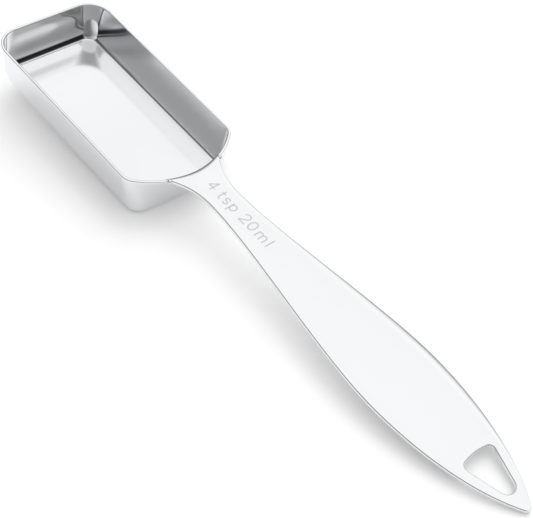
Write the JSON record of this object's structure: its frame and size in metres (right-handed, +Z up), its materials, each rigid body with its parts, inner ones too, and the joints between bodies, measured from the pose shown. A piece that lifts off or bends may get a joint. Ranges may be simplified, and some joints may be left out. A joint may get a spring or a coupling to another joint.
{
  "type": "measuring spoon",
  "caption": "Steel measuring spoon with a long shallow oblong bowl for narrow jars and a leaf-shaped, gently crowned handle with a three-sided hanging hole.",
  "frame": {"origin": "centre of the whole spoon's footprint, on the table that it rests on", "axes": "+X along the spoon from the bowl to the tip of the handle, +Y to the left when one looks from the bowl towards the tip, +Z up. The spoon lies at rest, leaning 5.5 degrees onto the tip of its handle."},
  "size_m": [0.1754, 0.0334, 0.0176],
  "materials": {
    "bowl_steel": "polished stainless steel, mirror like with a soft haze from drawing",
    "handle_steel": "polished stainless steel, bright, with faint lengthwise polishing lines",
    "weld_steel": "ground and polished weld metal, slightly greyer than the sheet"
  },
  "bodies": {
    "root": {"bowl": "bowl_steel", "handle": "handle_steel", "weld_bead_left": "weld_steel", "weld_bead_right": "weld_steel", "root_weld": "weld_steel"}
  },
  "joints": []
}
